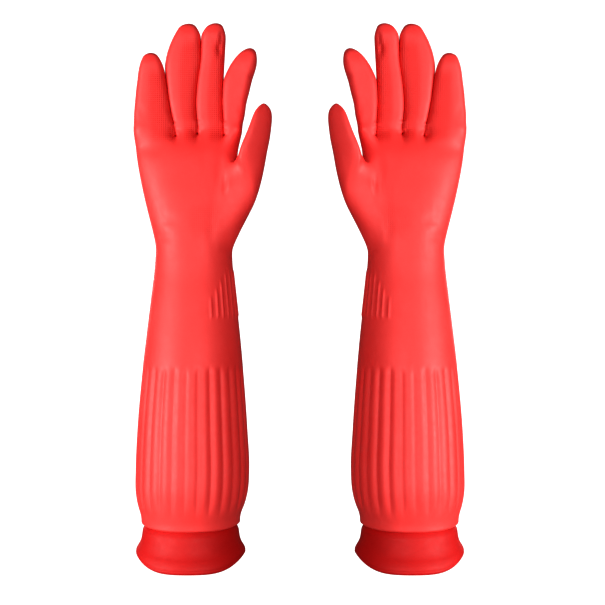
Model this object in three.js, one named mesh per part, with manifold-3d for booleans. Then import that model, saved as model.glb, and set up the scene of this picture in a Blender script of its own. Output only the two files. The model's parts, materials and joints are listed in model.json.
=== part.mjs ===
// A pair of long household rubber gloves, standing on their cuffs with the fingers up and the palms to -Y.
// Millimetres, +Z up. The origin is on the ground, midway between the two gloves.
//
// Each glove is a dipped latex skin, open at the cuff and hollow to the fingertips. From the ground up it
// has a rolled rim bead, a darker flared cuff band tucked into the sleeve, the sleeve and its rolled hem,
// a soft wrist, the palm, and five stalls (finger sleeves), each a base and a tip that fold at their creases.
// The glove for the right hand is modelled; the one for the left hand is its mirror image.

import * as THREE from "three";
import Module from "manifold-3d";
import { mergeVertices } from "three/addons/utils/BufferGeometryUtils.js";

const wasm = await Module();
wasm.setup();

// ---- Driving dimensions ----
const GLOVE_SPACING = 178; // between the axes of the two cuffs
const WALL = 1.0; // latex and its bonded flock lining together
const FIT_GAP = 0.6; // between sections that move against each other
const SEAT_GAP = 0.3; // between pieces that sit in or on one another
const STALL_SIDES = 10; // facets round a stall
const TUBE_SIDES = 20; // facets round the sleeve, wrist, palm and cuff

const BEAD_RADIUS = 2.2; // of the rolled rim that the glove stands on
const BEAD_FLAT = 1.1; // half width of its flat underside
const HEM_RADIUS = 1.6; // of the rolled hem at the sleeve's lower edge
const HEM_Z = 33; // underside of the hem
const SLEEVE_BASE_Z = HEM_Z + 2 * HEM_RADIUS + SEAT_GAP;
const TUCK_Z = 50; // upper edge of the cuff band, inside the sleeve
const SLEEVE_TOP_Z = 225;
const PALM_BASE_Z = 265;
const WEB_Z = 354; // top of the palm, between the fingers

// Outlines as stations from the bottom up: height z, middle x, half width w and half depth d.
const SLEEVE = [
  { z: SLEEVE_BASE_Z, x: -0.2, w: 39.8, d: 34.8 },
  { z: 42, x: 0, w: 41.0, d: 35.8 },
  { z: 49, x: 0.3, w: 43.2, d: 37.6 },
  { z: 63, x: 0.8, w: 45.9, d: 39.8 },
  { z: 79, x: 1.3, w: 46.4, d: 40.2 },
  { z: 113, x: 1.3, w: 44.9, d: 38.6 },
  { z: 153, x: 1.6, w: 41.8, d: 35.0 },
  { z: 193, x: 2.1, w: 37.7, d: 30.6 },
  { z: SLEEVE_TOP_Z, x: 2.3, w: 34.0, d: 26.4 },
];
const WRIST = [
  { z: SLEEVE_TOP_Z, x: 2.3, w: 34.0, d: 26.4 },
  { z: 239, x: 2.4, w: 32.4, d: 24.4 },
  { z: 253, x: 2.4, w: 31.4, d: 23.2 },
  { z: PALM_BASE_Z, x: 2.8, w: 31.8, d: 22.6 },
];
const PALM = [
  { z: PALM_BASE_Z, x: 2.8, w: 31.8, d: 22.6 },
  { z: 285, x: 0.2, w: 34.8, d: 21.4 },
  { z: 307, x: -1.9, w: 37.9, d: 19.4 },
  { z: 329, x: -2.6, w: 40.8, d: 16.8 },
  { z: 344, x: -3.0, w: 42.2, d: 14.0 },
  { z: WEB_Z, x: -2.6, w: 43.2, d: 11.0 },
];
// The band's outer face, from the bead up to the hem. Each half depth is this share of the half width.
const DEPTH_SHARE = 0.87;
const BAND = [
  { z: 2 * BEAD_RADIUS + SEAT_GAP, w: 42.9 },
  { z: 9, w: 44.6 },
  { z: 14, w: 44.7 },
  { z: 20, w: 42.4 },
  { z: 27, w: 39.4 },
];
const BEAD_W = 41.8; // half width of the bead's centre line
const HEM_W = 39.5; // half width of the hem's centre line

// Stalls: points b (base crease), m (middle crease), u (where the tip starts to round off) and t (tip), each
// as [x, y, z], with half width and half depth at b, m and u. palmar is the way the inner face looks.
const FRONT = [0, -1, 0];
const UP = [0, 0, 1];
const STALLS = {
  little: {
    palmar: FRONT,
    b: [-30.0, -1.0, 359],
    m: [-32.2, -2.0, 384],
    u: [-31.6, -3.0, 402],
    t: [-31.6, -4.0, 418.6],
    half: { b: [16.0, 10.2], m: [13.1, 9.2], u: [11.0, 8.4] },
  },
  ring: {
    palmar: FRONT,
    b: [-4.1, 1.0, 359],
    m: [-7.2, 0.5, 390],
    u: [-6.2, -1.5, 416],
    t: [-1.4, -4.0, 442],
    half: { b: [9.0, 10.0], m: [11.5, 9.6], u: [13.6, 8.9] },
  },
  middle: {
    palmar: FRONT,
    b: [16.1, 1.5, 359],
    m: [15.8, 1.0, 392],
    u: [18.6, -1.0, 427],
    t: [20.4, -3.0, 443],
    half: { b: [10.3, 10.0], m: [9.9, 9.6], u: [9.8, 8.8] },
  },
  index: {
    palmar: FRONT,
    b: [34.4, 0.0, 359],
    m: [37.2, 0.0, 387],
    u: [41.8, -1.5, 404],
    t: [48.4, -3.5, 422.6],
    half: { b: [7.2, 9.4], m: [10.4, 9.3], u: [11.0, 8.8] },
  },
  thumb: {
    palmar: [-0.97, -0.24, 0],
    b: [49.2, -15.6, 332],
    m: [54.0, -17.2, 351.5],
    u: [57.2, -18.0, 361],
    t: [59.9, -18.5, 375.5],
    half: { b: [10.2, 10.4], m: [9.2, 9.0], u: [8.2, 7.9] },
  },
};
const ROOT_LENGTH = 22; // how far a stall's root runs down inside the palm
const THENAR = [
  { at: [29, -5, 272], half: [12, 12.5] },
  { at: [38.4, -10, 297], half: [12, 13] },
  { at: [45.3, -14, 316], half: [11.4, 12] },
];
const TIP_STEPS = [0.45, 0.75, 0.93]; // shares of the way from u to t

// How far each joint bends, in degrees, and the torque in N m per radian with which the rubber springs back.
const BEND = {
  wrist: { range: [-60, 60], stiffness: 0.15, damping: 0.004 },
  finger_base: { range: [0, 85], stiffness: 0.02, damping: 0.0008 },
  finger_tip: { range: [0, 90], stiffness: 0.012, damping: 0.0004 },
  thumb_base: { range: [0, 70], stiffness: 0.02, damping: 0.0008 },
  thumb_tip: { range: [0, 80], stiffness: 0.012, damping: 0.0004 },
};
const WRIST_PIVOT = [1, 0, 245];
const LIFT_MM = 500; // how far one glove can be lifted past the other

// ---- Materials ----
const latex = new THREE.MeshStandardMaterial({ color: 0xf23a36, roughness: 0.45, metalness: 0 });
const bandLatex = new THREE.MeshStandardMaterial({ color: 0xc81f22, roughness: 0.5, metalness: 0 });

// ---- Solids ----
const vec = (p) => new THREE.Vector3(...p);

// Axes of a section across the tangent t: across (w), and the palmar way (n) square to both.
function frameAt(tangent, palmar) {
  const w = new THREE.Vector3().crossVectors(tangent, vec(palmar)).normalize();
  const n = new THREE.Vector3().crossVectors(w, tangent).normalize();
  return { w, n };
}

// An oval ring of points, counter-clockwise seen against the tangent.
function oval(centre, frame, [halfWidth, halfDepth], sides) {
  const points = [];
  for (let i = 0; i < sides; i++) {
    const a = ((i + 0.5) / sides) * 2 * Math.PI;
    points.push(
      centre
        .clone()
        .addScaledVector(frame.w, halfWidth * Math.cos(a))
        .addScaledVector(frame.n, -halfDepth * Math.sin(a)),
    );
  }
  return points;
}

// A closed solid through a row of ovals. Each end is a flat cap, or a single point in place of the last oval.
function loft(rings) {
  const positions = [];
  const face = (a, b, c) => positions.push(...a, ...b, ...c);
  for (let k = 0; k + 1 < rings.length; k++) {
    const [low, high] = [rings[k], rings[k + 1]];
    for (let i = 0; i < low.length; i++) {
      const j = (i + 1) % low.length;
      if (high.length === 1) {
        face(low[i], low[j], high[0]);
      } else {
        face(low[i], low[j], high[j]);
        face(low[i], high[j], high[i]);
      }
    }
  }
  const cap = (points, up) => {
    const middle = points.reduce((s, p) => s.add(p), new THREE.Vector3()).divideScalar(points.length);
    points.forEach((p, i) => {
      const q = points[(i + 1) % points.length];
      if (up) face(middle, p, q);
      else face(middle, q, p);
    });
  };
  cap(rings[0], false);
  if (rings.at(-1).length > 1) cap(rings.at(-1), true);
  return new THREE.BufferGeometry().setAttribute("position", new THREE.Float32BufferAttribute(positions, 3));
}

function manifoldOf(geometry) {
  const merged = mergeVertices(geometry, 1e-3);
  const vertProperties = merged.attributes.position.array;
  const triVerts = new Uint32Array(merged.index.array);
  return new wasm.Manifold(new wasm.Mesh({ numProp: 3, vertProperties, triVerts }));
}

function geometryOf(manifold) {
  const mesh = manifold.getMesh();
  const position = new THREE.Float32BufferAttribute(mesh.vertProperties, 3);
  return new THREE.BufferGeometry().setAttribute("position", position).setIndex([...mesh.triVerts]);
}

// An upright tube through stations, drawn in by inset and moved at its ends by below and above.
function upright(stations, { inset = 0, below = 0, above = 0 } = {}) {
  const last = stations.length - 1;
  const frame = { w: vec([1, 0, 0]), n: vec(FRONT) };
  return stations.map(({ z, x = 0, w, d }, k) => {
    const height = z - (k === 0 ? below : 0) + (k === last ? above : 0);
    return oval(vec([x, 0, height]), frame, [w - inset, d - inset], TUBE_SIDES);
  });
}

const openTube = (stations, ends = {}) => {
  const outer = manifoldOf(loft(upright(stations, ends)));
  const inner = manifoldOf(loft(upright(stations, { inset: WALL, below: 1, above: 1 })));
  return outer.subtract(inner);
};

// ---- Cuff ----
// A closed section swept once round an oval of half width w. The section's x points out and its y points up.
function sweepRound(section, w, z) {
  const positions = [];
  const at = (p, a) => [(w + p.x) * Math.cos(a), (w * DEPTH_SHARE + p.x) * Math.sin(a), z + p.y];
  for (let i = 0; i < TUBE_SIDES; i++) {
    const [a, b] = [i + 0.5, i + 1.5].map((step) => (step / TUBE_SIDES) * 2 * Math.PI);
    section.forEach((p, k) => {
      const q = section[(k + 1) % section.length];
      positions.push(...at(p, a), ...at(p, b), ...at(q, b));
      positions.push(...at(p, a), ...at(q, b), ...at(q, a));
    });
  }
  return new THREE.BufferGeometry().setAttribute("position", new THREE.Float32BufferAttribute(positions, 3));
}

// The rolled rim, with a flat underside to stand on.
function cuffBead() {
  const section = new THREE.Shape();
  section.moveTo(-BEAD_FLAT, 0);
  section.lineTo(BEAD_FLAT, 0);
  section.absarc(0, BEAD_RADIUS, BEAD_RADIUS, -Math.PI / 3, (4 / 3) * Math.PI, false);
  return sweepRound(section.getPoints(2).slice(0, -1), BEAD_W, 0);
}

function sleeveHem() {
  const section = new THREE.Shape().absarc(0, HEM_RADIUS, HEM_RADIUS, 0, 2 * Math.PI, false);
  return sweepRound(section.getPoints(4).slice(0, -1), HEM_W, HEM_Z);
}

// The flared band, and its straight top that is tucked inside the hem and the sleeve.
function cuffBand() {
  const [w, d] = [HEM_W, HEM_W * DEPTH_SHARE].map((half) => half - HEM_RADIUS - SEAT_GAP);
  const flared = BAND.map((station) => ({ ...station, d: station.w * DEPTH_SHARE }));
  const tucked = [HEM_Z - 1, TUCK_Z].map((z) => ({ z, w, d }));
  return geometryOf(openTube([...flared, ...tucked]));
}

// ---- Hand ----
const bisector = (a, b) => a.clone().add(b).normalize();

// The points, crease normals and section frames of one stall. A finger's creases are level; the thumb's lie
// square to the thumb.
function stallLines({ b, m, u, t, palmar }) {
  const [B, M, U, T] = [b, m, u, t].map(vec);
  const lower = M.clone().sub(B).normalize();
  const upper = U.clone().sub(M).normalize();
  const end = T.clone().sub(U).normalize();
  const level = palmar === FRONT;
  const root = level ? vec(UP) : lower;
  const crease = level ? vec(UP) : bisector(lower, upper);
  const frames = {
    b: frameAt(root, palmar),
    m: frameAt(crease, palmar),
    u: frameAt(bisector(upper, end), palmar),
  };
  return { B, M, U, T, lower, end, root, crease, frames };
}

const inset = ([w, d], by) => [w - by, d - by];
const along = (point, direction, distance) => point.clone().addScaledVector(direction, distance);

// The stall's section at its base crease or its middle crease, a distance along from there.
function sectionAt(stall, key, distance, by) {
  const { B, M, root, crease, frames } = stallLines(stall);
  const centre = key === "b" ? along(B, root, distance) : along(M, crease, distance);
  return oval(centre, frames[key], inset(stall.half[key], by), STALL_SIDES);
}

// The base section, from the base crease to the middle crease, open at both ends.
function stallBase(stall) {
  const tube = (by, margin) => {
    const reach = margin - FIT_GAP / 2;
    return manifoldOf(loft([sectionAt(stall, "b", -reach, by), sectionAt(stall, "m", reach, by)]));
  };
  return geometryOf(tube(0, 0).subtract(tube(WALL, 1)));
}

// The tip section, from the middle crease to the closed, rounded tip.
function stallTip(stall) {
  const { U, T, end, frames } = stallLines(stall);
  const tube = (by, margin) => {
    const half = inset(stall.half.u, by);
    const pole = along(T, end, -by);
    const dome = TIP_STEPS.map((share) => {
      const shrink = Math.sqrt(1 - share * share);
      const centre = U.clone().lerp(pole, share);
      return oval(centre, frameAt(end, stall.palmar), half.map((v) => v * shrink), STALL_SIDES);
    });
    const crease = sectionAt(stall, "m", FIT_GAP / 2 - margin, by);
    return manifoldOf(loft([crease, oval(U, frames.u, half, STALL_SIDES), ...dome, [pole]]));
  };
  return geometryOf(tube(0, 0).subtract(tube(WALL, 1)));
}

// The root of a stall inside the palm, ending at the base crease.
function stallRoot(stall, by, margin) {
  const { B, lower, frames } = stallLines(stall);
  const foot = oval(along(B, lower, -ROOT_LENGTH), frames.b, inset(stall.half.b, by), STALL_SIDES);
  return manifoldOf(loft([foot, sectionAt(stall, "b", margin - FIT_GAP / 2, by)]));
}

// The ball of the thumb, a bulge that carries the thumb's root on the palm.
function thenar(by, margin) {
  const { frames } = stallLines(STALLS.thumb);
  const bulge = THENAR.map(({ at, half }) => oval(vec(at), frames.b, inset(half, by), STALL_SIDES));
  return manifoldOf(loft([...bulge, sectionAt(STALLS.thumb, "b", margin - FIT_GAP / 2, by)]));
}

function palm() {
  const body = (by, margin) => {
    const below = by ? margin : -SEAT_GAP;
    const block = manifoldOf(loft(upright(PALM, { inset: by, below, above: -by })));
    const roots = ["little", "ring", "middle", "index"].map((name) => stallRoot(STALLS[name], by, margin));
    return [...roots, thenar(by, margin)].reduce((sum, part) => sum.add(part), block);
  };
  return geometryOf(body(0, 0).subtract(body(WALL, 1)));
}

// ---- Joints, for one glove in its own frame ----
// A finger folds about a line on its palmar face, in the plane of its crease.
function foldLine(point, frame, halfDepth) {
  const at = point.clone().addScaledVector(frame.n, halfDepth + FIT_GAP / 2);
  return { at: at.toArray(), axis: frame.w.toArray() };
}

function joints() {
  const wrist = { name: "wrist_bend", parent: "sleeve", child: "hand", at: WRIST_PIVOT, axis: [1, 0, 0] };
  const list = [{ ...wrist, ...BEND.wrist }];
  for (const [name, stall] of Object.entries(STALLS)) {
    const { B, M, frames } = stallLines(stall);
    const kind = name === "thumb" ? "thumb" : "finger";
    const [base, tip] = [`${name}_base`, `${name}_tip`];
    const root = foldLine(B, frames.b, stall.half.b[1]);
    const middle = foldLine(M, frames.m, stall.half.m[1]);
    list.push({ name: `${base}_bend`, parent: "hand", child: base, ...root, ...BEND[`${kind}_base`] });
    list.push({ name: `${tip}_bend`, parent: base, child: tip, ...middle, ...BEND[`${kind}_tip`] });
  }
  return list;
}

// ---- Assembly ----
const pieces = {
  cuff_bead: [cuffBead(), bandLatex],
  cuff_band: [cuffBand(), bandLatex],
  sleeve_hem: [sleeveHem(), latex],
  sleeve: [geometryOf(openTube(SLEEVE)), latex],
  wrist: [geometryOf(openTube(WRIST, { below: -SEAT_GAP, above: -SEAT_GAP })), latex],
  palm: [palm(), latex],
};
for (const [name, stall] of Object.entries(STALLS)) {
  pieces[`${name}_base`] = [stallBase(stall), latex];
  pieces[`${name}_tip`] = [stallTip(stall), latex];
}

// One glove, its meshes named for the hand it fits. The left one is turned over by a mirroring scale.
function glove(side, x, mirror) {
  const group = new THREE.Group();
  group.position.x = x;
  group.scale.x = mirror;
  for (const [name, [geometry, material]] of Object.entries(pieces)) {
    const mesh = new THREE.Mesh(geometry, material);
    mesh.name = `${side}_${name}`;
    group.add(mesh);
  }
  return group;
}

const pair = new THREE.Group();
pair.add(glove("right", -GLOVE_SPACING / 2, 1), glove("left", GLOVE_SPACING / 2, -1));
pair.userData = { gloveX: GLOVE_SPACING / 2, liftMm: LIFT_MM, joints: joints() };

export default pair;
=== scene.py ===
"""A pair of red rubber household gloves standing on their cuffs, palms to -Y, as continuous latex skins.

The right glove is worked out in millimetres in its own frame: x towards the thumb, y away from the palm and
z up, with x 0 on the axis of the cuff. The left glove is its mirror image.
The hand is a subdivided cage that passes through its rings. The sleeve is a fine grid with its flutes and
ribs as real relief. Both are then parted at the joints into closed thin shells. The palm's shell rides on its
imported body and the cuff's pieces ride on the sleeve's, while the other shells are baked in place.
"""

import json
import math

import bmesh
import bpy
import numpy as np
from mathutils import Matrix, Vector
from mathutils.bvhtree import BVHTree


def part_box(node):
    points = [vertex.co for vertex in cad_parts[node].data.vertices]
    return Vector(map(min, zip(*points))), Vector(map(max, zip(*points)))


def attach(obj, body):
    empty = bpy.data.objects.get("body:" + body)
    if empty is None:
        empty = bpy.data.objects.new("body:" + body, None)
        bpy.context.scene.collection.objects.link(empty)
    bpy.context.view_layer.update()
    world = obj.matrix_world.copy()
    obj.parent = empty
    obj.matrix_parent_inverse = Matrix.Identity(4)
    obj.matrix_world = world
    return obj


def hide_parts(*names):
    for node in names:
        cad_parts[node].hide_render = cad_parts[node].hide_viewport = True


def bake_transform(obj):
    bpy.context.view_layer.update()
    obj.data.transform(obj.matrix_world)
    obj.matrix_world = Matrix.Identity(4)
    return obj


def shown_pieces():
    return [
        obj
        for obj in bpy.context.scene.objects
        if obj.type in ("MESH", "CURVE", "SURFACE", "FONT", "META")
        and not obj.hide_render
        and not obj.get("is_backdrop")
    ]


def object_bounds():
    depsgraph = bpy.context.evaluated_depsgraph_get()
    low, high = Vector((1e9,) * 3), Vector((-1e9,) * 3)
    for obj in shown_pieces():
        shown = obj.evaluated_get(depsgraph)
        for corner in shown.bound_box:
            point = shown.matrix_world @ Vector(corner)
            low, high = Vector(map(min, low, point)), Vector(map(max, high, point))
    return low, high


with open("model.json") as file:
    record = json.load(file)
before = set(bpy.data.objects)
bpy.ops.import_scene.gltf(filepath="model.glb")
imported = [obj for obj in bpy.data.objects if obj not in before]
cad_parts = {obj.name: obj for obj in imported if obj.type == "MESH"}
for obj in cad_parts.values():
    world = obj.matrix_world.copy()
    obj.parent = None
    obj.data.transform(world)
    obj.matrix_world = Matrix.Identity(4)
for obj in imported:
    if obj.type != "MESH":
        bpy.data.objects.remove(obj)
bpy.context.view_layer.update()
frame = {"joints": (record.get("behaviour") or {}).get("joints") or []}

MM = 0.001
SKIN = 0.6  # thickness of a shell, mm
SIDES = ("right", "left")
FINGERS = ("little", "ring", "middle", "index")
SUBDIVISIONS = 3
# Regions of the hand's surface: 0 is the palm, 1 to 4 are the fingers in that order.
THUMB_REGION = 5

# ---- Sizes of one glove, mm ----
# Outline of the sleeve and wrist: height, middle, half width, half depth.
SLEEVE = np.array([
    (35.1, 0.0, 40.15, 35.05),
    (38.5, 0.0, 40.35, 35.25),
    (42.0, 0.0, 41.0, 35.9),
    (49.0, 0.3, 43.2, 37.6),
    (63.0, 0.8, 45.9, 39.8),
    (79.0, 1.3, 46.4, 40.2),
    (113.0, 1.3, 44.9, 38.6),
    (153.0, 1.6, 41.8, 35.0),
    (193.0, 2.1, 37.7, 30.6),
    (225.0, 2.3, 34.0, 26.4),
    (239.0, 2.4, 32.4, 24.4),
    (253.0, 2.4, 31.4, 23.2),
    (269.0, 3.0, 32.0, 22.4),
])
SLEEVE_FOOT = 35.1
SLEEVE_TOP = 248.0
SLEEVE_ROWS = 118
MEETING = 16.0  # over this height the sleeve's top comes to meet the hand
SEARCH = 6.0  # how far the hand may lie inside or outside the sleeve there
HEM_FADE = 30.0  # over this height the hem's rise at the sides dies out

# Flutes of the sleeve: grooves at equal turns, counted from the front towards the thumb.
FLUTES = 27
FLUTE_STEPS = 12
FLUTE_PHASE = -4.4
FLUTE_DEPTH = 1.2
FLUTE_SOFT = 0.01  # rounds the bottoms of the grooves
FLUTE_FOOT = (42.0, 60.0)
FLUTE_HEAD = (159.0, 166.5)

# Ribs on the thumb side of the wrist: turn from the front, and the height where each one ends.
RIB_TURNS = (26.4, 35.8, 44.4, 54.2, 64.6, 75.0, 85.0)
RIB_HEADS = (221.0, 228.0, 234.5, 241.0, 243.0, 244.0, 244.5)
RIB_FOOT = 203.5
RIB_HALF = 3.1  # half width in degrees of turn
RIB_HEIGHT = 0.75
RIB_FOOT_FADE = 2.4
RIB_HEAD_FADE = (-6, 1)  # from its head

# The palm: height, left edge, right edge, half depth, how square the oval is.
PALM = np.array([
    (232.0, -30.9, 35.5, 25.4, 2.0),
    (244.0, -29.5, 34.3, 23.9, 2.0),
    (256.0, -28.6, 33.8, 23.0, 2.05),
    (269.0, -29.9, 36.2, 22.2, 2.1),
    (299.0, -37.3, 38.8, 20.0, 2.2),
    (329.0, -43.3, 38.2, 16.9, 2.3),
    (342.0, -44.9, 38.9, 14.2, 2.3),
])
THUMB_SIDE = {256.0: 0.5, 269.0: 1.0, 299.0: 1.0, 329.0: 1.0}  # how far the columns make room for the thumb
THUMB_EDGE = {256.0: 27.0, 269.0: 24.0, 299.0: 26.5, 329.0: 30.5}  # where the palm's front meets the thumb

# The ring where the fingers begin.
ROOT_Z = 354
ROOT_LEFT = (-46.5, -1.0, ROOT_Z)
ROOT_RIGHT = (41.5, 0.0, ROOT_Z)
ROOT_MIDDLE = -2.45  # its middle and half width, as the spread of the palm's columns measures it
ROOT_HALF = 44.05
WEB_HALF = 0.1  # half the width of a web, at its middle
WEB_Y = 0.5
WEB_DIP = 1.0  # how far the ring's columns beside a gap dip below the web
BESIDE_GAP = (2, 3, 5, 6, 8, 9)  # those columns, of the twelve
COLUMNS_SPREAD = (266, 343)  # between these heights the palm's columns spread to the fingers' own

# Fingers: height, middle, half width at each station, from the root ring up. Depths follow below.
STATIONS = {
    "little": (
        (354, -29.5, 17.0), (362, -30.3, 16.1), (370, -31.1, 15.1), (378, -31.35, 14.05),
        (387, -31.6, 13.0), (396, -31.65, 11.75), (404, -31.75, 10.6), (411, -31.95, 8.6), (416, -32.2, 6.0),
    ),
    "ring": (
        (354, -3.5, 8.9), (362, -4.4, 9.6), (370, -5.85, 10.05), (380, -6.85, 11.05), (390, -7.0, 12.1),
        (402, -7.0, 13.8), (414, -5.85, 14.45), (426, -4.05, 12.55), (434, -2.4, 10.2), (439.5, -2.0, 7.0),
    ),
    "middle": (
        (354, 16.5, 10.9), (362, 16.25, 10.65), (370, 15.3, 10.9), (380, 15.15, 10.75), (392, 15.75, 10.45),
        (404, 17.05, 10.05), (416, 18.25, 9.55), (428, 18.5, 10.0), (435, 18.9, 9.3), (440, 19.85, 6.65),
    ),
    "index": (
        (354, 34.45, 7.05), (361, 34.75, 7.55), (369, 35.2, 8.8), (378, 35.65, 9.65), (387, 36.85, 10.75),
        (396, 38.2, 11.6), (404, 41.0, 11.4), (412, 44.1, 9.9), (418, 46.5, 7.1),
    ),
}
TIPS = {"little": (-32.0, 418.9), "ring": (-1.2, 442.6), "middle": (20.6, 443.0), "index": (48.4, 422.8)}
ROOT_Y = {"little": -1.0, "ring": 1.0, "middle": 1.5, "index": 0.0}
ROOT_DEPTH = 10.4
END_DEPTH = 8.4
TIP_Y = -4.0
LEAN_POWER = 1.6  # how late a finger leans forward towards its tip
TIP_ROUND = (11, 11.6)  # a fingertip rounds off over this height, as an arc of this radius
WEBS = (352.5, 354.0, 353.0)  # heights of the floors between the fingers
SQUARE = 0.8  # where a section's corner columns stand, as a share of its half width and half depth
# Where neighbouring fingers lie against each other: height and x.
CONTACTS = (
    ((353, -11.5), (362, -13.6), (370, -16.0), (387, -18.7), (405, -21.0), (419, -22.3)),
    ((354, 5.5), (362, 5.6), (378, 4.3), (390, 5.1), (402, 6.9), (413, 8.6), (428, 8.3), (443, 8.0)),
    ((353, 27.4), (362, 27.0), (378, 25.9), (399, 26.8), (412, 27.9), (423, 29.0)),
)
CONTACT_GAP = 0.06
PRESS_FROM = 1.5  # above the web
CLOSING = 2.6  # sides this near to the line just above a web are closed up
CLOSED = (-0.3, 9)  # from here to here above the web
# Fingers are this much wider where they press on a neighbour, up to these heights on their left and right.
PRESSED = 0.9
PRESS_FADE = 14
PRESSED_TO = {"little": (300, 405), "ring": (405, 430), "middle": (430, 399), "index": (399, 300)}

THUMB_HOLE = 269.0  # height of the lowest palm ring that the thumb opens from
# Places round the thumb's root, on the three palm rings that it opens from: front, side and back.
THUMB_ROOT = (
    ((24.0, -18.9, 269.5), (35.9, -9.0, 267.5), (36.3, -0.5, 268.0)),
    ((26.8, -18.7, 299.0), None, (38.4, 2.0, 299.0)),
    ((30.0, -15.2, 328.0), (36.6, -10.5, 330.0), (38.0, -1.5, 329.0)),
)

# Thumb: the outer and the inner point of each ring, and its half depth.
THUMB = (
    ((48.3, -4.5, 289.0), (37.0, -13.2, 331.0), 9.9),
    ((55.7, -6.5, 307.0), (38.6, -17.5, 333.0), 10.0),
    ((59.9, -8.5, 324.0), (39.8, -20.0, 335.5), 9.6),
    ((62.5, -10.0, 338.0), (41.6, -22.0, 341.0), 9.2),
    ((64.4, -11.2, 347.0), (44.9, -22.8, 349.0), 8.7),
    ((65.7, -12.2, 356.0), (47.8, -23.0, 356.0), 8.2),
    ((66.4, -13.4, 363.0), (50.3, -22.6, 363.0), 7.4),
    ((66.0, -15.0, 369.5), (53.0, -21.4, 369.5), 5.9),
    ((63.5, -17.4, 373.8), (56.3, -19.4, 373.8), 3.5),
)
THUMB_TIP = (59.9, -18.5, 376.0)

# Where the palm is evened out: middle, reach along x, y and z, and how many times.
SMOOTHED = (
    ((25.0, -19.0, 288.0), (13.0, 9.0, 34.0), 60),  # into the ball of the thumb
    ((0.0, -15.0, 342.0), (36.0, 10.0, 9.0), 40),  # below the fingers
)

# Soft dents and folds of the palm side: middle, reach along x, y and z, and height.
LUMPS = (
    ((24.0, -12.0, 421.0), (2.4, 7.0, 5.5), -2.2),  # the pressed-in side of the middle fingertip
    ((26.0, -12.0, 429.0), (2.2, 7.0, 6.0), -2.0),
    ((50.0, -10.0, 399.0), (2.5, 8.0, 3.4), -0.7),  # beside the index fingertip
    ((40.5, -10.0, 372.0), (3.2, 7.0, 5.0), -0.5),
    ((-40.0, -10.0, 371.0), (3.0, 8.0, 5.0), -0.6),  # at the little finger's root
    ((28.2, -20.0, 312.0), (1.5, 9.0, 5.0), -1.9),  # fold beside the ball of the thumb
    ((32.6, -20.0, 309.0), (2.8, 9.0, 4.5), 1.0),
    ((20.0, -20.0, 315.0), (2.6, 9.0, 7.0), 0.4),
    ((-17.0, -20.0, 282.0), (8.0, 9.0, 2.8), -1.0),  # creases at the heel of the hand
    ((-24.0, -16.0, 269.0), (8.0, 9.0, 4.0), -1.0),
    ((14.0, -20.0, 330.0), (5.0, 9.0, 9.0), -0.4),
)

# Where the skin parts into pieces, and the spans that bends would take; no bend is set up.
THUMB_BASE = np.array((49.2, -15.6, 332.0))
THUMB_MIDDLE = np.array((54.0, -17.2, 351.5))
THUMB_WAY = (THUMB_MIDDLE - THUMB_BASE) / np.linalg.norm(THUMB_MIDDLE - THUMB_BASE)
WRIST_JOIN = 273.0
FINGER_JOIN = 356.0
TIP_JOIN = 8.0  # how far below its middle fold a finger's end piece begins
# How far short of the line where the piece ends a bend would stop: wrist, finger base and fingertip.
WRIST_SHORT, BASE_SHORT, TIP_SHORT = 2, 1, 0.5
THUMB_BASE_JOIN = 0.5  # past the thumb's base
THUMB_TIP_JOIN = -6.0  # past the thumb's middle
THUMB_BASE_BEND = (0.5, 12.5)  # the span its base piece would bend over, from here to here past the thumb's base
THUMB_TIP_BEND = (-5.5, 6.0)  # and its tip piece's span, past the thumb's middle

# ---- Sizes of the cuff, mm ----
OVAL = 5.1  # how much less the half depth of the cuff is than its half width
# The band's outer face at the front: half width and height, from the rim to the part tucked in the sleeve.
BAND_OUT = (
    (43.9, 1.9), (44.5, 3.6), (44.2, 6.2), (43.1, 9.4), (41.8, 12.2),
    (40.8, 15.0), (40.1, 18.0), (39.7, 21.0), (39.3, 25.0), (38.9, 28.0),
    (38.0, 30.5), (36.8, 32.8), (36.1, 34.0), (36.0, 36.0), (36.0, 42.0),
)
BAND_THICK = 1.0
BAND_TOP = 33.0
RIM_RISE = 12.0  # how much higher the rim is at the two sides than at the front and back
HEM_RISE = 3.0  # the same for the sleeve's hem
RIM_POWER = 4.2
BEAD = (42.3, 2.3, 2.3)  # half width, height and radius of the rolled rim's middle line
HEM = (38.3, 35.1, 1.85)
CUFF_STEPS = 240
BAND_STEPS = 60

# ---- Colours and lights ----
GRID_PITCH = 1.7  # of the embossed squares, mm
SQUARE_HEIGHT = 0.0002  # m
PEBBLE_HEIGHT = 0.00005  # m
# The squares, and the painted shade of their darker tone, fade in and out between these shares of a finger's
# half width from its middle,
GRIP_ACROSS = (-0.35, 0.1, 0.95, 1.15)
GRIP_FOOT = (343, 352)  # between these heights,
GRIP_HEAD = (22, 8)  # and between these distances below the fingertip.
GRIP_HEEL = ((14, 282), (15, 14), 0.4)  # Those by the ball of the hand: middle, reach, strength.
GRIP_BACK = 1.0  # There are none behind this y.
# Each rubber's paler and deeper tone, and its darker tone where the squares are, which is painted shade on
# the fingers' thumb-ward halves and by the ball of the hand.
RED = ((0.86, 0.062, 0.058), (0.83, 0.052, 0.048))
SQUARES_AND_SHADE_TONE = (0.72, 0.026, 0.022)
CRIMSON = ((0.56, 0.009, 0.008), (0.50, 0.007, 0.007))
RED_ROUGH = 0.52
CRIMSON_ROUGH = 0.6
LINING = (0.42, 0.03, 0.03)
FLOOR_HALF = 4.0  # m
WORLD_LIGHT = 0.12
FLOOR_LIGHT = 3.2
# Lamps of each glove: name, watts, place from its middle (away from the other glove, back, up), size.
KEYS = (
    ("key", 36.0, (1.05, -0.8, -0.25), 0.7),
    ("fill", 26.0, (-0.3, -1.3, -0.35), 0.8),
    ("back", 7.0, (0.5, 1.3, 0.4), 0.8),
)
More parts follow.
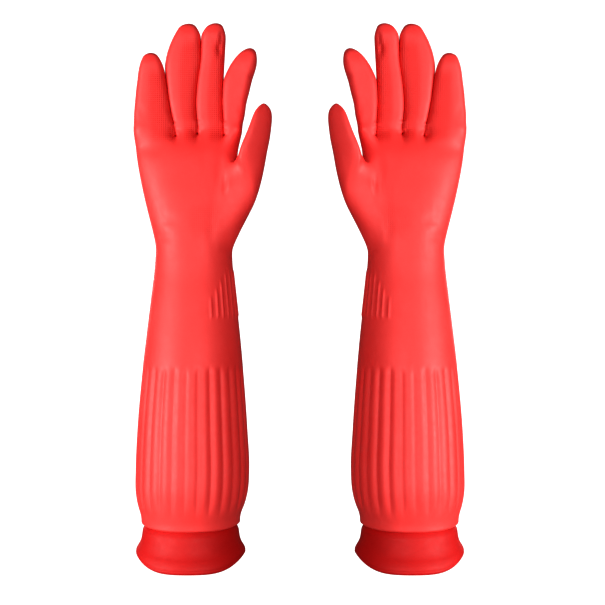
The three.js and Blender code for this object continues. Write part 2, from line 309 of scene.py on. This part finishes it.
# Camera: degrees across its view, and its place in metres. It looks straight along +Y.
VIEW_ANGLE = 22.5
VIEW_PLACE = (0.002, -1.24, 0.216)


# ---- Curves ----
def curve(at, keys, values):
    """Values at the given places on a smooth curve through the keys."""
    keys, values, at = (np.asarray(a, float) for a in (keys, values, at))
    slopes = np.gradient(values, keys, axis=0)
    at = np.clip(at, keys[0], keys[-1])
    i = np.clip(np.searchsorted(keys, at, side="right") - 1, 0, len(keys) - 2)
    step = keys[i + 1] - keys[i]
    t = (at - keys[i]) / step
    extra = (1,) * (values.ndim - 1)
    t, step = (np.reshape(a, np.shape(a) + extra) for a in (t, step))
    return (
        (1 + 2 * t) * (1 - t) ** 2 * values[i]
        + t * (1 - t) ** 2 * step * slopes[i]
        + t * t * (3 - 2 * t) * values[i + 1]
        - t * t * (1 - t) * step * slopes[i + 1]
    )


def ease(low, high, at):
    """0 below low, 1 above high, and smooth between them."""
    t = np.clip((np.asarray(at, float) - low) / (high - low), 0, 1)
    return t * t * (3 - 2 * t)


# ---- Hand cage ----
class Cage:
    """Quads and the points that the finished surface passes through."""

    def __init__(self):
        self.points, self.faces, self.regions = [], [], []

    def add(self, point):
        self.points.append(point)
        return len(self.points) - 1

    def quad(self, region, *corners):
        self.faces.append(corners)
        self.regions.append(region)

    def ring(self, points):
        return [self.add(p) for p in points]

    def tube(self, region, low, high):
        for k in range(len(low)):
            n = (k + 1) % len(low)
            self.quad(region, low[k], low[n], high[n], high[k])

    def cap(self, region, ring, pole):
        pole = self.add(pole)
        for k in range(0, len(ring), 2):
            self.quad(region, ring[k], ring[k + 1], ring[(k + 2) % len(ring)], pole)


def root_columns():
    """x of the twelve front columns where the fingers begin: three to a finger."""
    columns = []
    for name in FINGERS:
        _, middle, half = STATIONS[name][0]
        columns += [middle - SQUARE * half, middle, middle + SQUARE * half]
    return np.array(columns)


def palm_ring(row):
    """Left, twelve front, right and twelve back points of one ring of the palm."""
    z, left, right, depth, power = row
    middle, half = (left + right) / 2, (right - left) / 2
    low = -np.cos(np.arange(1, 13) * math.pi / 13)
    tops = (root_columns() - ROOT_MIDDLE) / ROOT_HALF
    share = low + (tops - low) * ease(*COLUMNS_SPREAD, z)
    front = share.copy()
    if z in THUMB_SIDE:  # the six columns on that side draw back to the edge of the thumb
        edge = (THUMB_EDGE[z] - middle) / half
        room = share[5] + (edge - share[5]) * np.arange(0, 6) / 5
        front[5:11] = share[5:11] + (room - share[5:11]) * THUMB_SIDE[z]

    def deep(s):
        return depth * (1 - np.abs(s) ** power) ** (1 / power)

    points = [(left, 0, z)]
    points += [(middle + half * s, -deep(s), z) for s in front]
    points += [(right, 0, z)]
    points += [(middle + half * s, deep(s), z) for s in share[::-1]]
    return np.array(points, float)


def root_ring():
    """Left, twelve front, right and twelve back points where the fingers begin."""

    def row(way, columns):
        points = []
        for k, x in columns:
            deep = ROOT_DEPTH * (1.0 if k % 3 == 1 else SQUARE)
            z = WEBS[BESIDE_GAP.index(k) // 2] - WEB_DIP if k in BESIDE_GAP else ROOT_Z
            points.append((x, ROOT_Y[FINGERS[k // 3]] + way * deep, z))
        return points

    columns = list(enumerate(root_columns()))
    return [ROOT_LEFT, *row(-1, columns), ROOT_RIGHT, *row(1, columns[::-1])]


def section(middle, across, deep):
    """Eight points round a stall: right, back right, back and so on to front right."""
    turns = np.arange(8) * math.pi / 4
    out = np.where(np.arange(8) % 2, SQUARE * math.sqrt(2), 1.0)
    return [
        np.array(middle) + np.array(across) * (c * o) + np.array(deep) * (s * o)
        for c, s, o in zip(np.cos(turns), np.sin(turns), out)
    ]


def finger_rings(name):
    """The rings of a finger above its root, each from front left round to left."""
    rows = STATIONS[name]
    low, high = rows[0][0], TIPS[name][1]
    rings = []
    for z, middle, half in rows[1:]:
        t = (z - low) / (high - low)
        y = ROOT_Y[name] + (TIP_Y - ROOT_Y[name]) * t**LEAN_POWER
        left, right = (PRESSED * (1 - ease(top - PRESS_FADE, top, z)) for top in PRESSED_TO[name])
        middle, half = middle + (right - left) / 2, half + (right + left) / 2
        depth = ROOT_DEPTH + (END_DEPTH - ROOT_DEPTH) * t
        rounding = max(0.0, z - high + TIP_ROUND[0]) / TIP_ROUND[1]
        depth *= math.sqrt(1 - rounding**2)
        points = section((middle, y, z), (half, 0, 0), (0, depth, 0))
        rings.append([points[k] for k in (5, 6, 7, 0, 1, 2, 3, 4)])
    return rings


def build_cage():
    """The whole hand: the palm's rings, the thumb from a hole in its side, the webs and the fingers."""
    cage = Cage()
    rings = [cage.ring(palm_ring(row)) for row in PALM]
    hole = list(PALM[:, 0]).index(THUMB_HOLE)
    front, side, back = 11, 12, 13  # the columns round the thumb's root

    rings.append(cage.ring(root_ring()))
    for k in range(len(rings) - 1):
        low, high = rings[k], rings[k + 1]
        for i in range(len(low)):
            if k in (hole, hole + 1) and i in (front, side):
                continue
            j = (i + 1) % len(low)
            cage.quad(0, low[i], low[j], high[j], high[i])

    # Thumb, from the hole in the palm's side.
    a, b, c = rings[hole : hole + 3]
    for ring, places in zip((a, b, c), THUMB_ROOT):
        for k, place in zip((front, side, back), places):
            if place:
                cage.points[ring[k]] = place
    low = [a[side], a[back], b[back], c[back], c[side], c[front], b[front], a[front]]
    for outer, inner, deep in THUMB:
        outer, inner = np.array(outer), np.array(inner)
        high = cage.ring(section((outer + inner) / 2, (outer - inner) / 2, (0, deep, 0)))
        cage.tube(THUMB_REGION, low, high)
        low = high
    cage.cap(THUMB_REGION, low, THUMB_TIP)

    # Webs and fingers.
    root = rings[-1]
    fore, rear = root[1:13], root[14:][::-1]
    left_mid, right_mid = [root[0]], []
    for gap, z in enumerate(WEBS):
        x = CONTACTS[gap][0][1]
        right_mid.append(cage.add((x - WEB_HALF, WEB_Y, z)))
        left_mid.append(cage.add((x + WEB_HALF, WEB_Y, z)))
    right_mid.append(root[13])
    for gap in range(3):
        k = 3 * gap + 2
        cage.quad(0, fore[k], fore[k + 1], left_mid[gap + 1], right_mid[gap])
        cage.quad(0, right_mid[gap], left_mid[gap + 1], rear[k + 1], rear[k])
    for i, name in enumerate(FINGERS):
        k = 3 * i
        low = [*fore[k : k + 3], right_mid[i], *rear[k : k + 3][::-1], left_mid[i]]
        for points in finger_rings(name):
            high = cage.ring(points)
            cage.tube(1 + i, low, high)
            low = high
        x, z = TIPS[name]
        cage.cap(1 + i, low, (x, TIP_Y, z))
    return cage


def pass_through(cage):
    """Moves the cage so that its limit surface passes through the given points."""
    target = np.array(cage.points, float)
    count = len(target)
    edges, diagonals, faces_at = {}, {}, {}
    for face in cage.faces:
        for k, v in enumerate(face):
            edges.setdefault(v, set()).update((face[k - 1], face[(k + 1) % 4]))
            diagonals.setdefault(v, []).append(face[(k + 2) % 4])
            faces_at[v] = faces_at.get(v, 0) + 1
    limit = np.zeros((count, count))
    for v in range(count):
        if v not in edges:  # the point that the thumb's root takes out of the palm
            limit[v, v] = 1
            continue
        n = len(edges[v])
        if faces_at[v] == n:
            limit[v, v] += n * n
            for e in edges[v]:
                limit[v, e] += 4
            for d in diagonals[v]:
                limit[v, d] += 1
            limit[v] /= n * (n + 5)
        else:  # on the open rim
            rim = [e for e in edges[v] if faces_at[e] < len(edges[e])]
            limit[v, v] = 4 / 6
            for e in rim:
                limit[v, e] = 1 / 6
    return np.linalg.solve(limit, target)


def grid_mesh(points, faces, regions=None):
    """A mesh to work on, with each face's region as its material number."""
    mesh = bpy.data.meshes.new("working")
    mesh.from_pydata([tuple(p) for p in points], [], [tuple(int(v) for v in f) for f in faces])
    if regions is not None:
        mesh.polygons.foreach_set("material_index", regions)
    mesh.update()
    return mesh


def read_mesh(mesh):
    """Points, faces, point normals and face regions of a mesh."""
    points = np.zeros(len(mesh.vertices) * 3)
    mesh.vertices.foreach_get("co", points)
    normals = np.zeros(len(mesh.vertices) * 3)
    mesh.vertices.foreach_get("normal", normals)
    regions = np.zeros(len(mesh.polygons), int)
    mesh.polygons.foreach_get("material_index", regions)
    faces = [tuple(p.vertices) for p in mesh.polygons]
    return points.reshape(-1, 3), faces, normals.reshape(-1, 3), regions


def subdivided(points, faces, regions):
    """The mesh's limit surface."""
    mesh = grid_mesh(points, faces, regions)
    for _ in range(THUMB_REGION + 1):
        mesh.materials.append(None)
    ob = bpy.data.objects.new("working", mesh)
    bpy.context.scene.collection.objects.link(ob)
    smooth = ob.modifiers.new("smooth", "SUBSURF")
    smooth.levels = smooth.render_levels = SUBDIVISIONS
    smooth.use_limit_surface = True
    made = bpy.data.meshes.new_from_object(ob.evaluated_get(bpy.context.evaluated_depsgraph_get()))
    bpy.data.objects.remove(ob)
    return made


def press_together(points, faces, regions):
    """Flattens neighbouring fingers against each other, with a hair's breadth between them."""
    finger_of = np.zeros(len(points), int)
    for face, region in zip(faces, regions):
        if 1 <= region <= 4:
            finger_of[list(face)] = region
    for gap, line in enumerate(CONTACTS):
        heights, places = zip(*line)
        x = np.interp(points[:, 2], heights, places)
        rise = points[:, 2] - WEBS[gap]
        left = (finger_of == gap + 1) & (rise > PRESS_FROM)
        right = (finger_of == gap + 2) & (rise > PRESS_FROM)
        points[left, 0] = np.minimum(points[left, 0], x[left] - CONTACT_GAP)
        points[right, 0] = np.maximum(points[right, 0], x[right] + CONTACT_GAP)
        close = (np.abs(points[:, 0] - x) < CLOSING) & (rise > CLOSED[0]) & (rise < CLOSED[1])
        for finger, way in ((gap + 1, -1), (gap + 2, 1)):
            chosen = close & (finger_of == finger)
            points[chosen, 0] = x[chosen] + way * CONTACT_GAP


def smooth_palm(points, faces):
    """Evens out the palm below the fingers and where the ball of the thumb begins."""
    ends = np.array([(a, b) for face in faces for a, b in zip(face, face[1:] + face[:1])])
    count = np.bincount(ends[:, 0], minlength=len(points))[:, None]
    for middle, reach, steps in SMOOTHED:
        off = (points - np.array(middle)) / np.array(reach)
        weight = (0.5 * np.exp(-((off**2).sum(1) ** 2)))[:, None]
        for _ in range(steps):
            total = np.zeros_like(points)
            np.add.at(total, ends[:, 0], points[ends[:, 1]])
            points += weight * (total / count - points)


def hand_relief(points, normals):
    """Raises and sinks the palm side along the surface's normal, by the soft dents and folds."""
    for middle, reach, height in LUMPS:
        away = (points - np.array(middle)) / np.array(reach)
        facing = ease(-0.2, 0.4, -normals[:, 1])
        points += normals * (height * np.exp(-(away**2).sum(1)) * facing)[:, None]


def joint_height(name):
    """Height of a packed joint, mm."""
    return next(j for j in frame["joints"] if j["name"] == name)["pos_m"][2] / MM


def middle_fold(finger):
    """Height of the fold between a finger's base and its tip."""
    return joint_height(f"right_{finger}_tip_bend")


def build_hand():
    """The whole hand as one surface, cut along the lines where its pieces part.

    Returns its points, their normals, the faces of each piece, and all the faces.
    """
    cage = build_cage()
    mesh = subdivided(pass_through(cage), cage.faces, cage.regions)
    points, faces, _, regions = read_mesh(mesh)
    press_together(points, faces, regions)
    smooth_palm(points, faces)
    mesh = grid_mesh(points, faces, regions)
    _, _, normals, _ = read_mesh(mesh)
    hand_relief(points, normals)
    mesh.vertices.foreach_set("co", points.ravel())
    mesh.update()

    bm = bmesh.new()
    bm.from_mesh(mesh)

    def cut(place, way, regions=None):
        chosen = [f for f in bm.faces if regions is None or f.material_index in regions]
        around = dict.fromkeys(part for f in chosen for part in (*f.verts, *f.edges, f))
        bmesh.ops.bisect_plane(bm, geom=list(around), dist=1e-4, plane_co=place, plane_no=way)

    folds = [middle_fold(name) for name in FINGERS]
    cut((0, 0, SLEEVE_TOP), (0, 0, 1))
    cut((0, 0, WRIST_JOIN), (0, 0, 1))
    for i, fold in enumerate(folds):
        cut((0, 0, FINGER_JOIN), (0, 0, 1), (1 + i,))
        cut((0, 0, fold - TIP_JOIN), (0, 0, 1), (1 + i,))
    cut(THUMB_BASE + THUMB_BASE_JOIN * THUMB_WAY, THUMB_WAY, (THUMB_REGION,))
    cut(THUMB_MIDDLE + THUMB_TIP_JOIN * THUMB_WAY, THUMB_WAY, (THUMB_REGION,))
    cut_mesh = bpy.data.meshes.new("working")
    bm.to_mesh(cut_mesh)
    bm.free()
    points, faces, normals, regions = read_mesh(cut_mesh)

    pieces = {}
    for face, region in zip(faces, regions):
        middle = points[list(face)].mean(0)
        if middle[2] < SLEEVE_TOP:
            continue
        name = "palm"
        if middle[2] < WRIST_JOIN:
            name = "wrist"
        elif 1 <= region <= 4 and middle[2] > FINGER_JOIN:
            end = "tip" if middle[2] > folds[region - 1] - TIP_JOIN else "base"
            name = f"{FINGERS[region - 1]}_{end}"
        elif region == THUMB_REGION and (middle - THUMB_BASE) @ THUMB_WAY > THUMB_BASE_JOIN:
            end = "tip" if (middle - THUMB_MIDDLE) @ THUMB_WAY > THUMB_TIP_JOIN else "base"
            name = f"thumb_{end}"
        pieces.setdefault(name, []).append(face)
    return points, normals, pieces, faces


# ---- Sleeve ----
def sleeve_relief(turn, z):
    """How far the surface stands out at a turn, in degrees from the front, and a height."""
    phase = (turn - FLUTE_PHASE) * FLUTES / 360
    scallop = np.sqrt(np.sin(math.pi * phase) ** 2 + FLUTE_SOFT) - 1.0
    extent = ease(*FLUTE_FOOT, z) * (1 - ease(*FLUTE_HEAD, z))
    relief = FLUTE_DEPTH * scallop * extent
    for rib, head in zip(RIB_TURNS, RIB_HEADS):
        for place in (rib, 180 - rib):
            off = np.abs((turn - place + 180) % 360 - 180) / RIB_HALF
            ridge = np.cos(np.clip(off, 0, 1) * math.pi / 2) ** 2
            fade = ease(head + RIB_HEAD_FADE[0], head + RIB_HEAD_FADE[1], z)
            along = ease(RIB_FOOT, RIB_FOOT + RIB_FOOT_FADE, z) * (1 - fade)
            relief = relief + RIB_HEIGHT * ridge * along
    return relief


def build_sleeve(hand_points, hand_faces):
    """The sleeve's grid, which meets the hand's surface at its top."""
    columns = FLUTES * FLUTE_STEPS
    turns = FLUTE_PHASE + np.arange(columns) * 360 / columns
    heights = np.linspace(SLEEVE_FOOT, SLEEVE_TOP, SLEEVE_ROWS)
    middle, half, deep = curve(heights, SLEEVE[:, 0], SLEEVE[:, 1:]).T
    turn, z = np.meshgrid(turns, heights)
    sine, cosine = np.sin(np.radians(turn)), -np.cos(np.radians(turn))
    out = np.stack([sine / half[:, None], cosine / deep[:, None]], -1)
    out /= np.linalg.norm(out, axis=-1, keepdims=True)
    plain = np.stack([middle[:, None] + half[:, None] * sine, deep[:, None] * cosine], -1)

    tree = BVHTree.FromPolygons([Vector(p) for p in hand_points], hand_faces)
    meet = np.zeros(columns)
    for k in range(columns):
        start = Vector((*plain[-1, k], SLEEVE_TOP - 0.01))
        way = Vector((*out[-1, k], 0))
        distance = tree.ray_cast(start - way * SEARCH, way, 2 * SEARCH)[3]
        meet[k] = distance - SEARCH if distance is not None else 0.0
    stand = sleeve_relief(turn, z) + meet[None, :] * ease(SLEEVE_TOP - MEETING, SLEEVE_TOP, z)
    flat = plain + out * stand[..., None]
    lift = HEM_RISE * np.abs(sine) ** RIM_POWER * (1 - ease(SLEEVE_FOOT, SLEEVE_FOOT + HEM_FADE, z))
    points = np.concatenate([flat, (z + lift)[..., None]], -1).reshape(-1, 3)
    faces = []
    for r in range(SLEEVE_ROWS - 1):
        for k in range(columns):
            n = (k + 1) % columns
            faces.append((r * columns + k, r * columns + n, (r + 1) * columns + n, (r + 1) * columns + k))
    return points, faces


# ---- Cuff ----
def roll(half, height, radius, count=20):
    """The closed section of a rolled edge, flat where it would go below the ground."""
    turns = np.arange(count) * 2 * math.pi / count
    return [(half + radius * math.cos(a), max(0.0, height + radius * math.sin(a))) for a in turns]


def band_section():
    """The closed section of the cuff band: its outer face, and the same face further in."""
    keys = np.arange(len(BAND_OUT))
    outer = curve(np.linspace(0, keys[-1], BAND_STEPS), keys, BAND_OUT)
    way = np.gradient(outer, axis=0)
    across = np.stack([way[:, 1], -way[:, 0]], 1)
    across /= np.linalg.norm(across, axis=1, keepdims=True)
    return np.concatenate([outer, (outer - across * BAND_THICK)[::-1]])


def lathe(section):
    """Closed oval solid through a closed section of (half width, height), counter-clockwise."""
    section = np.array(section, float)
    rows = len(section)
    turns = np.arange(CUFF_STEPS) * 2 * math.pi / CUFF_STEPS
    w, z = section[:, :1], section[:, 1:]
    lift = HEM_RISE + (RIM_RISE - HEM_RISE) * np.clip(1 - z / BAND_TOP, 0, 1)
    lift = lift * np.abs(np.cos(turns)) ** RIM_POWER
    points = np.stack([w * np.cos(turns), (w - OVAL) * np.sin(turns), z + lift], -1).reshape(-1, 3)
    faces = []
    for r in range(rows):
        s = (r + 1) % rows
        for k in range(CUFF_STEPS):
            n = (k + 1) % CUFF_STEPS
            faces.append((r * CUFF_STEPS + k, r * CUFF_STEPS + n, s * CUFF_STEPS + n, s * CUFF_STEPS + k))
    return points, faces


# ---- Pieces ----
def glove_axis(side):
    """x of the middle of a glove's cuff, and the way its own x points."""
    low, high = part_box(f"{side}_cuff_bead")
    return (low.x + high.x) / 2, (1 if side == "right" else -1)


def in_place(points, side):
    """Points of the right glove in millimetres, as points of either glove in metres."""
    axis, way = glove_axis(side)
    placed = np.array(points, float).reshape(-1, 3) * MM
    placed[:, 0] = axis + way * placed[:, 0]
    return placed


def shell(points, normals, faces):
    """A closed thin skin: the given faces, the same faces further in, and rims between them.

    Returns its points, its faces, a normal for each face corner, and which finish each face has.
    """
    used = np.unique([v for face in faces for v in face])
    number = {int(v): k for k, v in enumerate(used)}
    outer, up = points[used], normals[used]
    count = len(used)
    made, corners, kinds, edges = [], [], [], set()
    for face in faces:
        face = tuple(number[v] for v in face)
        made.append(face)
        corners.extend(up[v] for v in face)
        kinds.append(0)
        edges.update(zip(face, face[1:] + face[:1]))
    for face in made[:]:
        face = face[::-1]
        made.append(tuple(v + count for v in face))
        corners.extend(-up[v] for v in face)
        kinds.append(1)
    both = np.concatenate([outer, outer - up * SKIN])
    for a, b in edges:
        if (b, a) not in edges:
            rim = (b, a, a + count, b + count)
            flat = np.cross(both[rim[2]] - both[rim[0]], both[rim[3]] - both[rim[1]])
            made.append(rim)
            corners.extend([flat / max(np.linalg.norm(flat), 1e-9)] * 4)
            kinds.append(0)
    return both, made, np.array(corners), kinds


def squares_and_shade_mask(points):
    """Where the embossed squares show, and with them a painted shade: on three fingers, towards the thumb,
    and by the ball of the hand.
    """
    mask = np.zeros(len(points))
    x, y, z = np.asarray(points, float).T
    for name in FINGERS[:3]:
        rows = np.array(STATIONS[name])
        middle, half = curve(z, rows[:, 0], rows[:, 1:]).T
        off = (x - middle) / half
        inside = ease(*GRIP_ACROSS[:2], off) * (1 - ease(*GRIP_ACROSS[2:], off))
        below, above = (TIPS[name][1] - depth for depth in GRIP_HEAD)
        mask = np.maximum(mask, inside * ease(*GRIP_FOOT, z) * (1 - ease(below, above, z)))
    middle, reach, strength = GRIP_HEEL
    away = ((x - middle[0]) / reach[0]) ** 2 + ((z - middle[1]) / reach[1]) ** 2
    mask = np.maximum(mask, strength * (1 - ease(0.0, 1.6, away)))
    return mask * (y < GRIP_BACK)


def add_piece(name, side, points, faces, corners, kinds, finishes, slot):
    """Makes one named piece of a glove from the right glove's arrays."""
    mesh = bpy.data.meshes.new(f"{side}_{name}")
    turn = 1 if side == "right" else -1
    mesh.from_pydata([tuple(p) for p in in_place(points, side)], [], [face[::turn] for face in faces])
    for finish in finishes:
        mesh.materials.append(finish)
    mesh.polygons.foreach_set("material_index", kinds)
    mesh.polygons.foreach_set("use_smooth", [True] * len(faces))
    if corners is not None:
        if turn < 0:
            starts = np.cumsum([0] + [len(f) for f in faces])
            corners = np.concatenate([corners[a:b][::-1] for a, b in zip(starts, starts[1:])])
            corners = corners * np.array((-1.0, 1.0, 1.0))
        mesh.normals_split_custom_set([tuple(c) for c in corners])
    rest = mesh.attributes.new("rest_mm", "FLOAT_VECTOR", "POINT")
    rest.data.foreach_set("vector", np.asarray(points, np.float32).ravel())
    # The squares' mask, which also places their painted shade.
    grip = mesh.attributes.new("grip", "FLOAT", "POINT")
    grip.data.foreach_set("value", squares_and_shade_mask(points).astype(np.float32))
    ob = bpy.data.objects.new(f"{side}_{name}", mesh)
    bpy.context.scene.collection.objects.link(ob)
    return ob


# ---- Finishes ----
class Finish:
    """A node material with a Principled shader, built up a node at a time."""

    def __init__(self, name):
        self.material = bpy.data.materials.new(name)
        self.material.use_nodes = True
        self.tree = self.material.node_tree
        self.shader = self.tree.nodes["Principled BSDF"]
        place = self.node("ShaderNodeAttribute")
        place.attribute_name = "rest_mm"
        self.place = place.outputs["Vector"]

    def node(self, kind, **inputs):
        made = self.tree.nodes.new(kind)
        for socket, value in inputs.items():
            self.feed(made.inputs[socket], value)
        return made

    def feed(self, socket, value):
        if isinstance(value, bpy.types.NodeSocket):
            self.tree.links.new(value, socket)
        else:
            socket.default_value = value

    def math(self, operation, a, b=0.0, c=0.0):
        made = self.tree.nodes.new("ShaderNodeMath")
        made.operation = operation
        for socket, value in zip(made.inputs, (a, b, c)):
            self.feed(socket, value)
        return made.outputs[0]

    def noise(self, scale, detail=3.0, rough=0.5):
        made = self.node("ShaderNodeTexNoise", Vector=self.place, Scale=scale, Detail=detail, Roughness=rough)
        return made.outputs["Fac"]

    def mix(self, share, a, b):
        made = self.tree.nodes.new("ShaderNodeMix")
        made.data_type = "RGBA"
        self.feed(made.inputs["Factor"], share)
        self.feed(made.inputs["A"], a)
        self.feed(made.inputs["B"], b)
        return made.outputs["Result"]

    def span(self, value, low, high, to_low, to_high):
        made = self.tree.nodes.new("ShaderNodeMapRange")
        keys = ("Value", "From Min", "From Max", "To Min", "To Max")
        for key, v in zip(keys, (value, low, high, to_low, to_high)):
            self.feed(made.inputs[key], v)
        return made.outputs[0]

    def bump(self, height, distance, strength, over=None):
        made = self.node("ShaderNodeBump", Height=height, Distance=distance, Strength=strength)
        if over is not None:
            self.feed(made.inputs["Normal"], over)
        return made.outputs["Normal"]

    def set(self, **values):
        for key, value in values.items():
            self.feed(self.shader.inputs[key.replace("_", " ")], value)


def latex(name, pale, deep, rough):
    """Satin dipped rubber: faintly mottled, with a fine pebble, and embossed squares whose darker tone is
    painted shade.
    """
    f = Finish(name)
    broad, fine = f.math("MULTIPLY", f.noise(0.035, 4), 0.7), f.math("MULTIPLY", f.noise(0.9, 2), 0.3)
    mottle = f.math("ADD", broad, fine)
    grip = f.node("ShaderNodeAttribute")
    grip.attribute_name = "grip"
    plain = f.mix(f.span(mottle, 0.35, 0.65, 0.0, 1.0), (*pale, 1), (*deep, 1))
    # The darker tone where the squares are is painted shade on the fingers' thumb-ward halves and by the ball
    # of the hand, laid over the real embossed squares.
    f.set(Base_Color=f.mix(f.math("MULTIPLY", grip.outputs["Fac"], 0.8), plain, (*SQUARES_AND_SHADE_TONE, 1)))
    f.set(Roughness=f.span(f.noise(0.25, 3), 0.3, 0.7, rough - 0.04, rough + 0.05))
    xyz = f.node("ShaderNodeSeparateXYZ", Vector=f.place).outputs
    squares = f.math(
        "MAXIMUM",
        f.math("SINE", f.math("MULTIPLY", xyz["X"], 2 * math.pi / GRID_PITCH)),
        f.math("SINE", f.math("MULTIPLY", xyz["Z"], 2 * math.pi / GRID_PITCH)),
    )
    raised = f.math("MULTIPLY", squares, grip.outputs["Fac"])
    pebble = f.bump(f.noise(1.1, 2, 0.6), PEBBLE_HEIGHT, 0.6)
    f.set(Normal=f.bump(raised, SQUARE_HEIGHT, 0.5, pebble))
    f.set(Specular_IOR_Level=0.38, Subsurface_Weight=0.12, Subsurface_Scale=0.004)
    f.set(Subsurface_Radius=(1.0, 0.25, 0.2))
    return f.material


def flock(name, colour):
    """The cotton flock that lines the rubber."""
    f = Finish(name)
    f.set(Base_Color=f.mix(f.noise(1.6, 4), (*colour, 1), (*[c * 0.7 for c in colour], 1)))
    f.set(Normal=f.bump(f.noise(2.4, 5, 0.7), 0.0003, 0.8), Roughness=0.95, Sheen_Weight=0.5)
    return f.material


# ---- Gloves ----
def make_gloves():
    """Both gloves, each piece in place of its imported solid."""
    red = latex("red_latex", *RED, RED_ROUGH)
    crimson = latex("crimson_latex", *CRIMSON, CRIMSON_ROUGH)
    lining = flock("flock_lining", LINING)
    points, normals, hand, all_faces = build_hand()
    grid, grid_faces = build_sleeve(points, all_faces)
    grid_normals = read_mesh(grid_mesh(grid, grid_faces))[2]
    skins = {name: shell(points, normals, faces) for name, faces in hand.items()}
    skins["sleeve"] = shell(grid, grid_normals, grid_faces)
    cuffs = {
        "cuff_bead": (lathe(roll(*BEAD)), crimson, "cuff_latex"),
        "cuff_band": (lathe(band_section()), crimson, "cuff_latex"),
        "sleeve_hem": (lathe(roll(*HEM)), red, "latex"),
    }
    for side in SIDES:
        for name, ((ring, faces), finish, slot) in cuffs.items():
            ob = add_piece(f"{name}_skin", side, ring, faces, None, [0] * len(faces), [finish], slot)
            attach(ob, f"{side}_sleeve")
            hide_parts(f"{side}_{name}")
        for name, made in skins.items():
            ob = add_piece(f"{name}_skin", side, *made, [red, lining], "latex")
            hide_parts(f"{side}_{name}")
            hang(ob, side, name)


def hang(ob, side, name):
    """Lets the palm's skin ride on its body; the other skins are baked in place, and the ends of their bends
    are worked out but not used.
    """

    def at(*point):
        return tuple(in_place(point, side)[0])

    if name in ("sleeve", "wrist"):
        pivot = joint_height(f"{side}_wrist_bend")
        reach = WRIST_JOIN - WRIST_SHORT - pivot
        at(0, 0, pivot - reach)
        at(0, 0, pivot + reach)
        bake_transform(ob)
    elif name == "palm":
        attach(ob, f"{side}_hand")
    elif name == "thumb_base":
        start, end = (THUMB_BASE + s * THUMB_WAY for s in THUMB_BASE_BEND)
        at(*start)
        at(*end)
        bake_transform(ob)
    elif name == "thumb_tip":
        start, end = (THUMB_MIDDLE + s * THUMB_WAY for s in THUMB_TIP_BEND)
        at(*start)
        at(*end)
        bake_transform(ob)
    else:
        finger, end_name = name.split("_")
        fold = middle_fold(finger)
        if end_name == "base":
            start, end = at(0, 0, FINGER_JOIN), at(0, 0, fold - TIP_JOIN - BASE_SHORT)
            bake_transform(ob)
        else:
            reach = TIP_JOIN - TIP_SHORT
            start, end = at(0, 0, fold - reach), at(0, 0, fold + reach)
            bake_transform(ob)


# ---- Studio ----
def studio():
    """White floor and background, lamps that light one glove each, and the camera."""
    scene = bpy.context.scene
    scene.view_settings.view_transform = "Standard"
    scene.view_settings.look = "High Contrast"
    low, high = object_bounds()

    mesh = bpy.data.meshes.new("floor")
    corners = [(x * FLOOR_HALF, y * FLOOR_HALF, 0) for x, y in ((-1, -1), (1, -1), (1, 1), (-1, 1))]
    mesh.from_pydata(corners, [], [(0, 1, 2, 3)])
    floor = bpy.data.objects.new("floor", mesh)
    floor.location.z = low.z
    scene.collection.objects.link(floor)
    floor.visible_diffuse = floor.visible_glossy = False
    floor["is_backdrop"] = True
    paper = bpy.data.materials.new("white_paper")
    paper.use_nodes = True
    shader = paper.node_tree.nodes["Principled BSDF"]
    shader.inputs["Base Color"].default_value = (0.9, 0.9, 0.9, 1)
    shader.inputs["Roughness"].default_value = 0.9
    shader.inputs["Specular IOR Level"].default_value = 0.1
    mesh.materials.append(paper)

    world = bpy.data.worlds.new("studio")
    scene.world = world
    world.use_nodes = True
    tree = world.node_tree
    ray = tree.nodes.new("ShaderNodeLightPath")
    strength = tree.nodes.new("ShaderNodeMapRange")
    strength.inputs["To Min"].default_value = WORLD_LIGHT
    strength.inputs["To Max"].default_value = 1.0
    tree.links.new(ray.outputs["Is Camera Ray"], strength.inputs["Value"])
    tree.links.new(strength.outputs[0], tree.nodes["Background"].inputs["Strength"])
    tree.nodes["Background"].inputs["Color"].default_value = (1, 1, 1, 1)

    groups = {}
    for key in (*SIDES, "floor", "floor_blockers"):
        groups[key] = bpy.data.collections.new(f"lit_{key}")
    groups["floor"].objects.link(floor)
    # Only the floor itself blocks the floor's lamp, so the gloves cast no shadow from it.
    groups["floor_blockers"].objects.link(floor)
    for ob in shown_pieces():
        groups[ob.name.split("_")[0]].objects.link(ob)

    sun = light("floor_light", "SUN", FLOOR_LIGHT, (0, 0, 1), (0, 0, 0), groups["floor"])
    sun.light_linking.blocker_collection = groups["floor_blockers"]
    middle = (low + high) / 2
    for side in SIDES:
        axis, way = glove_axis(side)
        aim = Vector((axis, 0, middle.z))
        for name, power, place, size in KEYS:
            spot = aim + Vector((-way * place[0], place[1], place[2]))
            lamp = light(f"{side}_{name}", "AREA", power, spot, aim, groups[side])
            lamp.data.size = size

    camera = bpy.data.objects.new("camera", bpy.data.cameras.new("camera"))
    scene.collection.objects.link(camera)
    camera.data.sensor_width = camera.data.sensor_height = 36
    camera.data.sensor_fit = "HORIZONTAL"
    camera.data.angle = math.radians(VIEW_ANGLE)
    camera.location = VIEW_PLACE
    camera.rotation_euler = (math.radians(90), 0, 0)
    camera.data.clip_end = 50
    scene.camera = camera


def light(name, kind, power, place, aim, receivers):
    """A lamp that lights only its receivers."""
    lamp = bpy.data.objects.new(name, bpy.data.lights.new(name, kind))
    lamp.data.energy = power
    lamp.location = place
    lamp.rotation_euler = (Vector(aim) - Vector(place)).to_track_quat("-Z", "Y").to_euler()
    bpy.context.scene.collection.objects.link(lamp)
    lamp.light_linking.receiver_collection = receivers
    return lamp


make_gloves()
studio()
